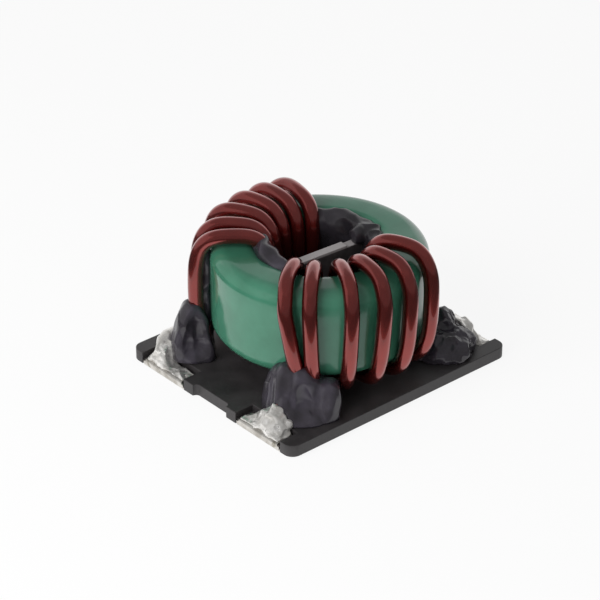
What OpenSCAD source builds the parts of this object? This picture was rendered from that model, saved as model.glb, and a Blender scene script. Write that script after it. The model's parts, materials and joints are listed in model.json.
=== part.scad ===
// Surface-mount common-mode choke.
// A coated ferrite ring lies flat above a moulded plate and carries two windings of thick wire.
// Each wire end is soldered to a clip on the plate's edge, and epoxy mounds hold the windings down.
// X runs along the plate's long side and the separator, Y from the front winding to the rear one, Z up.
// The origin is the middle of the underside, on the plane of the solder pads.

/* [Base plate] */
// Length of the plate along X
base_l = 27; // [26:0.5:30]
// Depth of the plate along Y
base_d = 23.2; // [22.6:0.2:26]
// Thickness of the plate
base_t = 1.2; // [1:0.1:1.6]
// Radius of the plate's corners
corner_r = 1; // [0.6:0.1:1.4]
// Length of the shallow recess in the middle of each terminal edge
recess_l = 4.8; // [3:0.2:5.4]
// Depth of that recess
recess_depth = 0.45; // [0.2:0.05:0.6]

/* [Terminals] */
// Width of a terminal along the edge
term_w = 5.9; // [5:0.1:6.2]
// Distance from the plate's middle line to a terminal's middle
term_y = 6.87; // [6.6:0.01:7.2]
// Thickness of the plated sheet
term_t = 0.25; // [0.2:0.05:0.3]
// Height of the top arm over the pads, in its pocket in the plate
term_h = 0.8; // [0.7:0.05:0.9]
// Width of the top arm
arm_w = 5.4; // [4.8:0.1:5.6]
// Reach of the top arm in from the edge
arm_l = 1.7; // [1.4:0.1:1.9]
// Reach of the solder pad under the plate
term_pad = 3.2; // [2:0.1:4]
// How far the solder pads stand below the plate
pad_drop = 0.1; // [0.05:0.05:0.15]

/* [Core] */
// Outside diameter of the coated ring
core_od = 20.5; // [20:0.1:20.6]
// Inside diameter of the coated ring
core_id = 11; // [10.8:0.1:11.4]
// Height of the coated ring
core_h = 9.1; // [8.6:0.1:9.4]
// Rounding of the coated ring's edges
core_edge_r = 1.4; // [1.2:0.1:1.8]
// Thickness of the epoxy coat
coat_t = 0.4; // [0.2:0.05:0.6]
// Gap between the plate and the ring's underside
core_lift = 2.3; // [2.2:0.1:2.6]

/* [Windings] */
// Diameter of the enamelled wire
wire_d = 1.4; // [1.2:0.05:1.4]
// Play between the wire and the ring's side walls
side_slack = 0.28; // [0.28:0.02:0.4]
// Play between the wire and the ring's flat faces
face_slack = 0.2; // [0.2:0.02:0.3]
// Squareness of a turn, where 2 is an ellipse and more is boxier
turn_square = 3.4; // [3.4:0.1:3.8]

/* [Separator] */
// Thickness of the separator card
card_t = 0.95; // [0.6:0.05:1.1]
// Length of the card across the ring's hole
card_l = 10.6; // [9:0.1:10.6]
// Distance from the card's top edge to the ring's top face
card_sink = 1.3; // [0.8:0.1:2]
// Turn of the card away from the X axis, in degrees
card_turn = -3.4; // [-6:0.2:0]

/* [Hidden] */
$fn = 48;

base_z = pad_drop;
base_top = base_z + base_t;
pocket_gap = 0.4;
pocket_l = arm_l + pocket_gap;
slit = 0.15;
core_z = base_top + core_lift;
core_top = core_z + core_h;
wire_r = wire_d / 2;

// Section of a turn, measured to the middle of the wire
turn_mid_r = (core_od + core_id) / 4;
turn_mid_z = core_z + core_h / 2;
turn_half_w = (core_od - core_id) / 4 + wire_r + side_slack;
turn_half_h = core_h / 2 + wire_r + face_slack;

// Rings of points along the wire
wire_sides = 9;
ring_step = 15;
lead_rings = 6;
rings_per_turn = 360 / ring_step;
first_q = -30;
leg_q = 30;
inner_q = 210;
last_q = 270;
cross_q = 120;

// Azimuth of each turn's outer leg and inner leg, with the play it was wound with outside and on top
front_out = [-147.8, -136, -116, -99, -83, -65];
front_in = [-155, -134, -113.6, -95.2, -77.2, -59.2];
front_loose = [0.1, 0, 0, 0, 0.1, 0.1];
front_lift = [0, 0, 0, 0, 0.1, 0.3];
rear_out = [143, 132, 109, 95.5, 86, 71];
rear_in = [151, 132.5, 114, 95.5, 77, 58];
rear_loose = [0.4, 0.3, 0.2, 0.1, 0, 0.1];
rear_lift = [0.2, 0.2, 0.3, 0.4, 0.5, 0.4];

// Leads: azimuth at which the first leg rises and the last run leaves
front_lead_az = -141.5;
front_exit_az = -34;
rear_lead_az = 144;
rear_exit_az = 34;
// Points the leads pass through, each with its direction; a lead ends on the arm or just over its pocket
lead_clear = 0.1;
lead_pull = 1;
arm_lead_z = term_h + lead_clear + wire_r;
plate_lead_z = base_top + lead_clear + wire_r;
front_start = [-12.1, -7.3, arm_lead_z];
front_knots = [[front_start, [1, 0, 1]]];
front_end = [11.9, -7.2, plate_lead_z];
rear_start = [-12.8, 8, arm_lead_z];
rear_hop = 0.4;
rear_knots = [[rear_start, [1, 0.8, 0.7]], [[-11, 8.85, plate_lead_z + rear_hop], [1, 0, 0.3]]];
rear_end = [11.9, 7.2, plate_lead_z];

function spow(v, p) = sign(v) * pow(abs(v), p);
function unit(v) = v / norm(v);
function smooth(t) = let (c = min(max(t, 0), 1)) c * c * (3 - 2 * c);
function mix(a, b, t) = a + (b - a) * t;
function polar(r, az, z) = [r * cos(az), r * sin(az), z];

// Azimuth at turn angle q: 0 is the outer leg, 90 the top, 180 the inner leg, 270 the underside
function turn_az(q, start, out, in, next) =
    q < leg_q ? mix(start, out, smooth((q - first_q) / (leg_q - first_q)))
    : q < inner_q ? mix(out, in, smooth((q - leg_q) / cross_q))
    : mix(in, next, smooth((q - inner_q) / cross_q));

// A point on a turn with its outer play and its top play
function turn_point(q, az, loose, lift) = polar(
    turn_mid_r + (turn_half_w + (cos(q) > 0 ? loose : 0)) * spow(cos(q), 2 / turn_square),
    az,
    turn_mid_z + (turn_half_h + (sin(q) > 0 ? lift : 0)) * spow(sin(q), 2 / turn_square)
);

// All the turns of one winding, from the first leg to the start of the last lead
function turns_path(out, in, loose, lift, lead_az, exit_az) = [
    for (k = [0 : len(out) - 1])
    let (
        last = k == len(out) - 1,
        start = k == 0 ? lead_az : out[k],
        next = last ? exit_az : out[k + 1],
        next_loose = last ? loose[k] : loose[k + 1],
        stop_q = last ? last_q : first_q + 360 - ring_step
    )
    for (q = [first_q : ring_step : stop_q])
    turn_point(q, turn_az(q, start, out[k], in[k], next), q < 180 ? loose[k] : next_loose, lift[k])
];

// A smooth bend between two points that leaves and arrives along given directions
function bend(p, p_dir, s, s_dir) = let (pull = lead_pull * norm(s - p)) [
    for (i = [0 : lead_rings - 1])
    let (t = i / lead_rings)
    (2 * t ^ 3 - 3 * t ^ 2 + 1) * p + (t ^ 3 - 2 * t ^ 2 + t) * pull * unit(p_dir)
    + (3 * t ^ 2 - 2 * t ^ 3) * s + (t ^ 3 - t ^ 2) * pull * unit(s_dir)
];

// The first lead, from knot to knot and up to the first leg
function lead_in(knots, turns) = [
    for (k = [0 : len(knots) - 1])
    let (
        last = k == len(knots) - 1,
        s = last ? turns[0] : knots[k + 1][0],
        s_dir = last ? turns[1] - turns[0] : knots[k + 1][1]
    )
    each bend(knots[k][0], knots[k][1], s, s_dir)
];

// The whole wire: lead, turns, lead
function wire_path(turns, knots, end) = let (n = len(turns)) concat(
    lead_in(knots, turns),
    [for (i = [0 : n - 2]) turns[i]],
    bend(turns[n - 1], turns[n - 1] - turns[n - 2], end, [1, 0, 0]),
    [end]
);

front_path = wire_path(
    turns_path(front_out, front_in, front_loose, front_lift, front_lead_az, front_exit_az),
    front_knots, front_end
);
rear_path = wire_path(
    turns_path(rear_out, rear_in, rear_loose, rear_lift, rear_lead_az, rear_exit_az),
    rear_knots, rear_end
);
front_last = len(front_path) - 1;
rear_last = len(rear_path) - 1;

// Place in a path of turn k at turn angle q
function turn_ring(knots, k, q) =
    len(knots) * lead_rings + k * rings_per_turn + round((q - first_q) / ring_step);
function front_ring(k, q) = turn_ring(front_knots, k, q);
function rear_ring(k, q) = turn_ring(rear_knots, k, q);

// One ring of points round the wire, squared up to the ring's own azimuth so that it never twists
function ring(path, i, r) = let (
    n = len(path) - 1,
    p = path[i],
    t = unit(path[min(i + 1, n)] - path[max(i - 1, 0)]),
    around = unit([-p.y, p.x, 0]),
    a = unit(around - (around * t) * t),
    b = cross(t, a)
) [
    for (j = [0 : wire_sides - 1])
    let (w = 360 * j / wire_sides)
    p + r * (cos(w) * a + sin(w) * b)
];

// A round tube along rings from to last of a path
module tube(path, r, from, last) {
    rings = last - from;
    points = [for (i = [from : last]) each ring(path, i, r)];
    m = wire_sides;
    walls = [
        for (i = [0 : rings - 1], j = [0 : m - 1])
        let (a = i * m + j, b = i * m + (j + 1) % m)
        each [[a, a + m, b], [b, a + m, b + m]]
    ];
    caps = [
        [for (j = [0 : m - 1]) j],
        [for (j = [m - 1 : -1 : 0]) rings * m + j]
    ];
    polyhedron(points, concat(walls, caps));
}

module rounded_plate(l, d, r) {
    square([l - 2 * r, d], center = true);
    square([l, d - 2 * r], center = true);
    for (x = [-1, 1], y = [-1, 1])
        translate([x * (l / 2 - r), y * (d / 2 - r)])
            circle(r);
}

// Shallow recess with round ends, cut in from one terminal edge
module edge_recess() {
    translate([-base_l / 2, 0]) {
        square([2 * recess_depth, recess_l - 2 * recess_depth], center = true);
        for (y = [-1, 1])
            translate([0, y * (recess_l / 2 - recess_depth)])
                circle(recess_depth);
    }
}

module both_ends() {
    children();
    mirror([1, 0, 0])
        children();
}

module each_terminal() {
    both_ends()
        for (y = [-1, 1])
            translate([-base_l / 2, y * term_y])
                children();
}

module base() {
    color("#2a2728")
        difference() {
            translate([0, 0, base_z])
                linear_extrude(base_t)
                    difference() {
                        rounded_plate(base_l, base_d, corner_r);
                        both_ends()
                            edge_recess();
                        each_terminal()
                            square([2 * term_t, term_w + 2 * slit], center = true);
                    }
            each_terminal()
                translate([0, -term_w / 2 - slit, term_h - term_t])
                    cube([pocket_l, term_w + 2 * slit, base_t]);
            each_terminal()
                translate([0, -term_w / 2 - slit, 0])
                    cube([term_pad + slit, term_w + 2 * slit, term_t]);
        }
}

// Side view of a terminal's edge and pad, with a round outer corner at the foot
module face_section() {
    translate([0, term_t])
        square([term_t, term_h - 2 * term_t]);
    translate([term_t, 0])
        square([term_pad - term_t, term_t]);
    intersection() {
        translate([term_t, term_t])
            circle(term_t);
        square(term_t);
    }
}

// Side view of the top arm, rounded over the edge
module arm_section() {
    translate([term_t, term_h - term_t])
        square([arm_l - term_t, term_t]);
    intersection() {
        translate([term_t, term_h - term_t])
            circle(term_t);
        translate([0, term_h - term_t])
            square(term_t);
    }
}

module terminal(x_side, y_side) {
    color("#d8d6d2")
        scale([-x_side, 1, 1])
            translate([-base_l / 2, y_side * term_y, 0])
                rotate([90, 0, 0]) {
                    linear_extrude(term_w, center = true)
                        face_section();
                    linear_extrude(arm_w, center = true)
                        arm_section();
                }
}

// Half section of a ring with rounded edges
module ring_section(od, id, z, h, r) {
    w = (od - id) / 2;
    translate([(od + id) / 4, z + h / 2])
        rounded_plate(w, h, r);
}

// Part of the coated ring between two azimuths, with flat facets that lie just outside its surface
module core_wedge(az0, az1) {
    steps = round((az1 - az0) * $fn / 360);
    arc = 3;
    half = (az1 - az0) / steps / 2;
    rim = core_edge_r / cos(45 / arc);
    section = [
        for (c = [[1, 1], [-1, 1], [-1, -1], [1, -1]], k = [0 : arc - 1])
        let (
            turned = c.x * c.y > 0 ? k : arc - 1 - k,
            w = 90 * (turned + 0.5) / arc,
            r = turn_mid_r + c.x * ((core_od - core_id) / 4 - core_edge_r + rim * cos(w)),
            z = turn_mid_z + c.y * (core_h / 2 - core_edge_r + rim * sin(w))
        )
        [r / (c.x > 0 ? cos(half) : 1), z]
    ];
    m = len(section);
    points = [for (i = [0 : steps], p = section) polar(p[0], mix(az0, az1, i / steps), p[1])];
    walls = [
        for (i = [0 : steps - 1], j = [0 : m - 1])
        let (a = i * m + j, b = i * m + (j + 1) % m)
        each [[a, b, a + m], [b, b + m, a + m]]
    ];
    caps = [
        [for (j = [m - 1 : -1 : 0]) j],
        [for (j = [0 : m - 1]) steps * m + j]
    ];
    polyhedron(points, concat(walls, caps));
}

module core_solid(inset) {
    rotate_extrude()
        ring_section(core_od - 2 * inset, core_id + 2 * inset, core_z + inset, core_h - 2 * inset,
            core_edge_r - inset);
}

module ferrite_core() {
    color("#3a3836")
        core_solid(coat_t);
}

module core_coating() {
    color("#3f8163")
        difference() {
            core_solid(0);
            core_solid(coat_t);
        }
}

module winding_front() {
    color("#8a4242")
        tube(front_path, wire_r, 0, front_last);
}

module winding_rear() {
    color("#8a4242")
        tube(rear_path, wire_r, 0, rear_last);
}

// Card across the hole, with the top of its far end set down a little
module separator() {
    step_l = 2.4;
    step_drop = 0.2;
    card_h = core_top - card_sink - base_top;
    color("#5d595a")
        rotate([0, 0, card_turn])
            difference() {
                translate([-card_l / 2, -card_t / 2, base_top])
                    cube([card_l, card_t, card_h]);
                translate([card_l / 2 - step_l, -card_t, base_top + card_h - step_drop])
                    cube([card_l, 2 * card_t, 1]);
            }
}

// Solder: a film on the arm that rises over the end of the wire and out of the pocket
solder_color = "#cfccc8";
solder_film = 0.1;
solder_cover = 0.2;
solder_ripple = 0.06;
ripple_along = 130;
ripple_in = 150;
solder_foot = 1.1;
solder_taper = 0.7;
tin_coat = 0.07;
tinned_r = wire_r + tin_coat;
front_tinned = 3;
rear_tinned = lead_rings + 2;

// How far the solder reaches in from the edge at a distance v from the wire
function solder_reach(v, tongue, spread) = mix(arm_l, tongue, exp(-(v / (solder_foot * spread)) ^ 4));

// Top of the wire at u in from the edge, as it climbs out of the pocket from its end at wire_u
function wire_top(u, wire_end, wire_u) =
    mix(wire_end.z, max(wire_end.z, plate_lead_z + lead_clear), smooth((u - wire_u) / pocket_l)) + wire_r;

// Height over the pads at u in from the edge, at v from the wire
function solder_height(u, along, v, wire_end, wire_u, spread, rise, phase) = let (
    taper = smooth((arm_w / 2 - abs(along)) / solder_taper),
    hump = wire_top(u, wire_end, wire_u) + solder_cover - term_h,
    ripple = solder_ripple * sin(ripple_along * v + phase) * sin(ripple_in * u + phase) ^ 2,
    slope = smooth((u - wire_u) / rise + 1)
) term_h + solder_film + taper * (hump * exp(-(v / spread) ^ 4) * slope + ripple);

// A lump of solder as a closed grid: i runs in from the edge, j along it
module solder_lump(x_side, y_side, wire_end, tongue, spread, rise, phase) {
    nu = 5;
    nv = 10;
    u0 = 0.12;
    end_gap = 0.1;
    wire_u = base_l / 2 - abs(wire_end.x);
    function at(i, j, top) = let (
        along = mix(-1, 1, j / nv) * (arm_w / 2 - end_gap),
        v = along - (abs(wire_end.y) - term_y),
        u = mix(u0, solder_reach(v, tongue, spread), i / nu)
    ) [
        x_side * (base_l / 2 - u),
        y_side * (term_y + along),
        top ? solder_height(u, along, v, wire_end, wire_u, spread, rise, phase) : term_h - term_t / 2
    ];
    points = [for (top = [true, false], i = [0 : nu], j = [0 : nv]) at(i, j, top)];
    m = nv + 1;
    low = (nu + 1) * m;
    outward = x_side * y_side < 0;
    function face(a, b, c) = outward ? [a, b, c] : [a, c, b];
    function quad(a, b, c, d) = [face(a, b, c), face(a, c, d)];
    faces = concat(
        [for (i = [0 : nu - 1], j = [0 : nv - 1]) let (a = i * m + j) each concat(
            quad(a, a + 1, a + m + 1, a + m),
            quad(low + a, low + a + m, low + a + m + 1, low + a + 1)
        )],
        [for (j = [0 : nv - 1]) let (a = nu * m + j) each concat(
            quad(low + j, low + j + 1, j + 1, j),
            quad(a, a + 1, low + a + 1, low + a)
        )],
        [for (i = [0 : nu - 1]) let (a = i * m, b = i * m + nv) each concat(
            quad(a, a + m, low + a + m, low + a),
            quad(low + b, low + b + m, b + m, b)
        )]
    );
    polyhedron(points, faces);
}

module front_lump() {
    solder_lump(-1, -1, front_start, tongue = 2.6, spread = 1.9, rise = 1.5, phase = 20);
}

module left_lump() {
    solder_lump(-1, 1, rear_start, tongue = 1.75, spread = 1.1, rise = 0.7, phase = 130);
}

module right_lump() {
    solder_lump(1, -1, front_end, tongue = 2.6, spread = 1.2, rise = 0.7, phase = 75);
}

module back_lump() {
    solder_lump(1, 1, rear_end, tongue = 2.6, spread = 1.2, rise = 0.7, phase = 200);
}

// The two near leads are tinned bare as far as the epoxy
module solder_front() {
    color(solder_color)
        difference() {
            union() {
                front_lump();
                tube(front_path, tinned_r, 0, front_tinned);
            }
            base();
            terminal(-1, -1);
            tube(front_path, wire_r, 0, front_tinned + 1);
        }
}

module solder_left() {
    color(solder_color)
        difference() {
            union() {
                left_lump();
                tube(rear_path, tinned_r, 0, rear_tinned);
            }
            base();
            terminal(-1, 1);
            tube(rear_path, wire_r, 0, rear_tinned + 1);
        }
}

module solder_right() {
    color(solder_color)
        difference() {
            right_lump();
            base();
            terminal(1, -1);
            tube(front_path, wire_r, front_last - lead_rings, front_last);
        }
}

module solder_back() {
    color(solder_color)
        difference() {
            back_lump();
            base();
            terminal(1, 1);
            tube(rear_path, wire_r, rear_last - lead_rings, rear_last);
        }
}

// Epoxy: mounds over the leads and ragged beads at the ends of the card
glue_color = "#3b3840";
mound_wave = 0.05;
mound_fold = 0.08;
mound_tip = 0.2;

// A mound drawn up from its foot to a peak; a fullness of 1 gives a cone and 2 a dome
module mound(foot, reach, peak, fullness, phase) {
    sides = 20;
    rows = 6;
    function at(i, w) = let (
        h = sin(90 * i / (rows - 1)),
        f = mix(mound_tip, 1, (1 - h ^ fullness) ^ (1 / fullness)),
        wave = 1 + mound_wave * (cos(3 * w + phase) + cos(5 * w + 2 * phase)),
        fold = 1 + mound_fold * cos(7 * w + phase) * 4 * h * (1 - h)
    ) [
        mix(foot.x, peak.x, h) + f * wave * fold * reach.x * cos(w),
        mix(foot.y, peak.y, h) + f * wave * fold * reach.y * sin(w),
        mix(base_top, peak.z, h)
    ];
    points = [for (i = [0 : rows - 1], j = [0 : sides - 1]) at(i, 360 * j / sides)];
    walls = [
        for (i = [0 : rows - 2], j = [0 : sides - 1])
        let (a = i * sides + j, b = i * sides + (j + 1) % sides)
        each [[a, a + sides, b], [b, a + sides, b + sides]]
    ];
    caps = [
        [for (j = [0 : sides - 1]) j],
        [for (j = [sides - 1 : -1 : 0]) (rows - 1) * sides + j]
    ];
    polyhedron(points, concat(walls, caps));
}

module glue_front() {
    color(glue_color)
        difference() {
            union() {
                mound(foot = [-8, -7.7], reach = [3.4, 3.4], peak = [-8.8, -7.2, 6],
                    fullness = 1.2, phase = 40);
                mound(foot = [-9.6, -5.6], reach = [1.9, 2], peak = [-9.3, -5.3, 5.4],
                    fullness = 1.5, phase = 90);
                mound(foot = [-9.8, -7], reach = [1.8, 1.8], peak = [-9.6, -6.9, 4.8],
                    fullness = 2, phase = 10);
            }
            core_wedge(-165, -112.5);
            front_lump();
            tube(front_path, tinned_r, 0, front_ring(0, 15));
            tube(front_path, wire_r, front_ring(0, 240), front_ring(1, 15));
            tube(front_path, wire_r, front_ring(1, 255), front_ring(2, 0));
        }
}

module glue_left() {
    color(glue_color)
        difference() {
            union() {
                mound(foot = [-9.2, 7.6], reach = [2.2, 2.6], peak = [-10.3, 6.8, 6.9],
                    fullness = 1.2, phase = 150);
                mound(foot = [-9.8, 8.4], reach = [1.5, 1.6], peak = [-9.7, 8, 3.9],
                    fullness = 1.8, phase = 60);
            }
            core_wedge(112.5, 165);
            left_lump();
            tube(rear_path, tinned_r, 0, rear_ring(0, 30));
            tube(rear_path, wire_r, rear_ring(0, 240), rear_ring(1, 15));
        }
}

module glue_right() {
    color(glue_color)
        difference() {
            union() {
                mound(foot = [8.4, -7.7], reach = [3.5, 3.3], peak = [8.9, -7.9, 3.9],
                    fullness = 2, phase = 250);
                mound(foot = [9.2, -7], reach = [1.2, 1.1], peak = [9.4, -7.1, 5],
                    fullness = 2.2, phase = 0);
            }
            core_wedge(-75, -15);
            right_lump();
            tube(front_path, wire_r, front_ring(4, 255), front_ring(5, 0));
            tube(front_path, wire_r, front_ring(5, 240), front_last);
        }
}

module glue_back() {
    color(glue_color)
        difference() {
            mound(foot = [8.8, 7.4], reach = [3.3, 3], peak = [9, 6.9, 4.8], fullness = 1.8, phase = 250);
            core_wedge(15, 67.5);
            back_lump();
            tube(rear_path, wire_r, rear_ring(4, 255), rear_ring(5, 0));
            tube(rear_path, wire_r, rear_ring(5, 240), rear_last);
        }
}

// A bead along the ring's inner rim, with its thickness at each end and its swell between;
// it may climb at its start and run down the wall
module rim_bead(span, thick, swell, climb, run, phase) {
    sides = 12;
    steps = 14;
    drop = 0.7;
    uneven = 0.1;
    function at(i, w) = let (
        s = i / steps,
        body = mix(thick[0], thick[1], s) + swell * sin(180 * s),
        wave = (1 + uneven * cos(900 * s + phase)) * (1 + uneven * cos(3 * w + 500 * s + phase)),
        ragged = body * wave,
        z = core_top - drop + climb * (1 - s) + ragged * sin(w) * (w > 180 ? run : 1)
    ) polar(core_id / 2 + ragged * cos(w), mix(span[0], span[1], s), z);
    points = [for (i = [0 : steps], j = [0 : sides - 1]) at(i, 360 * j / sides)];
    walls = [
        for (i = [0 : steps - 1], j = [0 : sides - 1])
        let (a = i * sides + j, b = i * sides + (j + 1) % sides)
        each [[a, b, a + sides], [b, b + sides, a + sides]]
    ];
    caps = [
        [for (j = [sides - 1 : -1 : 0]) j],
        [for (j = [0 : sides - 1]) steps * sides + j]
    ];
    polyhedron(points, concat(walls, caps));
}

module glue_near() {
    color(glue_color)
        difference() {
            rim_bead([147, 205], thick = [0.9, 0.6], swell = 0.4, climb = 1, run = 1, phase = 30);
            core_wedge(127.5, 225);
            separator();
            tube(front_path, wire_r, front_ring(0, 90), front_ring(0, 210));
            tube(rear_path, wire_r, rear_ring(0, 90), rear_ring(0, 210));
        }
}

module glue_far() {
    color(glue_color)
        difference() {
            rim_bead([-42, 57], thick = [0.5, 1], swell = 0.25, climb = 0, run = 6, phase = 100);
            core_wedge(-67.5, 82.5);
            separator();
            tube(rear_path, wire_r, rear_ring(5, 90), rear_ring(5, 255));
        }
}

base();
terminal(-1, -1);  // terminal_front
terminal(-1, 1);  // terminal_left
terminal(1, -1);  // terminal_right
terminal(1, 1);  // terminal_back
ferrite_core();
core_coating();
winding_front();
winding_rear();
separator();
solder_front();
solder_left();
solder_right();
solder_back();
glue_front();
glue_left();
glue_right();
glue_back();
glue_near();
glue_far();
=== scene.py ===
"""Looks of a surface-mount toroidal inductor: fine meshes, finishes, floor, light and camera.

Sizes are in millimetres in the part's own frame, as in its solids, and become metres when a mesh is made.
"""

import json
import logging
import math
from dataclasses import dataclass, field
from enum import Enum

import bmesh
import bpy
import numpy as np
from bpy.types import ID, Material, Mesh, Node, NodeSocket, NodeTree, Object, World
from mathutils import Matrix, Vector, noise

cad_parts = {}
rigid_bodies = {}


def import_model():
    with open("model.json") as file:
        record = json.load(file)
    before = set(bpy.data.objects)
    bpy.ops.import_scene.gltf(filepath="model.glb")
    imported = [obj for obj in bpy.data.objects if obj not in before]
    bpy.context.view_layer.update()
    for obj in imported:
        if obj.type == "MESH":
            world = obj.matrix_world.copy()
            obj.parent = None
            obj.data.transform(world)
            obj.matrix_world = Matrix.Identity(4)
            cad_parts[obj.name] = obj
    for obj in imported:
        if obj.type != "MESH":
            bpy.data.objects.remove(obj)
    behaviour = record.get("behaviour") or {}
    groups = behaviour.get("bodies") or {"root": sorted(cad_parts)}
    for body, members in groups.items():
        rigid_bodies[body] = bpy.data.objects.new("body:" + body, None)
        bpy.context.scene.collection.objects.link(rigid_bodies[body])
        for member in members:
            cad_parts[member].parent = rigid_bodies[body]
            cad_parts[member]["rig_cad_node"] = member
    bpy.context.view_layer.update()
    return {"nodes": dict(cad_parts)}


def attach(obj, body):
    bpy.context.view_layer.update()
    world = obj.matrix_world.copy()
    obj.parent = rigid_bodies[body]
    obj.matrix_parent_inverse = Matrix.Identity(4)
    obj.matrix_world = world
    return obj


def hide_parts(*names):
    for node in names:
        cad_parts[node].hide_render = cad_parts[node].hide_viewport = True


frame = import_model()
LOG = logging.getLogger("inductor")

Pair = tuple[float, float]
Triple = tuple[float, float, float]
Four = tuple[float, float, float, float]
Five = tuple[float, float, float, float, float]
Face = tuple[int, ...]

MM = 0.001

BASE_TOP = 1.3
BASE_L = 27.0
ARM_W = 5.4
ARM_L = 1.7
TERM_H = 0.8
TERM_Y = 6.87
WIRE_R = 0.7
POCKET_L = 2.1
ARM_LEAD_Z = 1.6
PLATE_LEAD_Z = 2.1
CORE_OD = 20.5
CORE_ID = 11.0
CORE_LOW = 3.6
CORE_TOP = 12.7
CORE_MID_R = (CORE_OD + CORE_ID) / 4
CORE_MID_Z = (CORE_LOW + CORE_TOP) / 2

WHITE = (1.0, 1.0, 1.0, 1.0)

# Finishes: part of the noise that goes from dark to light, softness of a stain's edge, strength of the grain.
CLOUD_RANGE = (0.35, 0.65)
STAIN_BLUR = 0.06
GRAIN_STRENGTH = 0.4

# Copied solids: gap that is welded, then the angles in degrees under which faces are one face, over which an
# edge is rounded, and over which the shading breaks.
WELD_GAP = 0.002
FLAT_ANGLE = 1.0
SHARP_ANGLE = 35.0
BREAK_ANGLE = 50.0

# Skins: place in the noise of the folds beside that of the waves, and how steeply a dent falls off.
FOLD_SHIFT = Vector((7, 3, 5))
DENT_FALL = 1.6
# Angle between a ball's pole and its first ring, in radians.
POLE = 0.05
# A direction that no wire starts along.
TUBE_UP = (0.0, 0.3, 1.0)

# Points of a wire's path that the solder covers, from its start or back from its end.
FRONT_TIN = slice(8)
LEFT_TIN = slice(41)
FAR_TIN = slice(None, -12, -1)


def mix(a: float, b: float, t: float) -> float:
    """Goes from a to b as t goes from 0 to 1."""
    return a + (b - a) * t


def smooth(t: float) -> float:
    """Eases from 0 to 1 and stays there outside that range."""
    c = min(max(t, 0.0), 1.0)
    return c * c * (3 - 2 * c)


def signed_power(v: float, p: float) -> float:
    """Raises the size of v to p and keeps its sign."""
    return math.copysign(abs(v) ** p, v)


def unit(v: np.ndarray) -> np.ndarray:
    """Gives the direction of a vector."""
    return v / np.linalg.norm(v)


def polar(r: float, az: float, z: float) -> np.ndarray:
    """Gives the point at a radius, an azimuth in radians and a height."""
    return np.array((r * math.cos(az), r * math.sin(az), z))


def linear(colour: str) -> Four:
    """Turns an sRGB hex colour to the linear values that a shader takes.

    Args:
        colour: Six hex digits after a hash sign.

    Returns:
        Linear red, green and blue, with an alpha of 1.
    """
    parts = [int(colour[i : i + 2], 16) / 255 for i in (1, 3, 5)]
    red, green, blue = (c / 12.92 if c <= 0.04045 else ((c + 0.055) / 1.055) ** 2.4 for c in parts)
    return red, green, blue, 1.0


def per_metre(size_mm: float) -> float:
    """Gives the texture scale at which one cell of a pattern is size_mm wide."""
    return 1000 / size_mm


def add(
    tree: NodeTree,
    kind: str,
    inputs: dict[str | int, object] | None = None,
    **settings: object,
) -> Node:
    """Adds a node with its settings and links.

    Args:
        tree: Node tree that takes the node.
        kind: Node type name.
        inputs: Value or source socket for each input, by the input's name or place.
        settings: Properties of the node itself.

    Returns:
        The new node.
    """
    node = tree.nodes.new(kind)
    for key, value in settings.items():
        setattr(node, key, value)
    for key, value in (inputs or {}).items():
        if isinstance(value, NodeSocket):
            tree.links.new(value, node.inputs[key])
        else:
            node.inputs[key].default_value = value
    return node


def clouds(
    tree: NodeTree, place: NodeSocket, size: float, detail: float, roughness: float = 0.5
) -> NodeSocket:
    """Adds a noise whose cells are size millimetres wide, with finer noise inside them."""
    inputs = {"Vector": place, "Scale": per_metre(size), "Detail": detail, "Roughness": roughness}
    return add(tree, "ShaderNodeTexNoise", inputs).outputs["Fac"]


def ranged(tree: NodeTree, value: NodeSocket, source: Pair, target: Pair = (0.0, 1.0)) -> NodeSocket:
    """Takes a value from the source range to the target range and stops at its ends."""
    ends = {"From Min": source[0], "From Max": source[1], "To Min": target[0], "To Max": target[1]}
    return add(tree, "ShaderNodeMapRange", {"Value": value} | ends).outputs[0]


def blend(tree: NodeTree, share: NodeSocket, first: object, second: object) -> NodeSocket:
    """Mixes two colours by the share of the second, at the places that the mix node keeps for colours."""
    return add(tree, "ShaderNodeMix", {0: share, 6: first, 7: second}, data_type="RGBA").outputs[2]


def blank_tree(owner: Material | World) -> NodeTree:
    """Turns on the nodes of a material or a world and clears them.

    Args:
        owner: Material or world.

    Returns:
        Its empty node tree.
    """
    owner.use_nodes = True
    owner.node_tree.nodes.clear()
    return owner.node_tree


def put(name: str, data: ID) -> Object:
    """Puts a new object in the scene.

    Args:
        name: Object name.
        data: Its mesh, light or camera.

    Returns:
        The new object.
    """
    obj = bpy.data.objects.new(name, data)
    bpy.context.scene.collection.objects.link(obj)
    return obj


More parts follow.
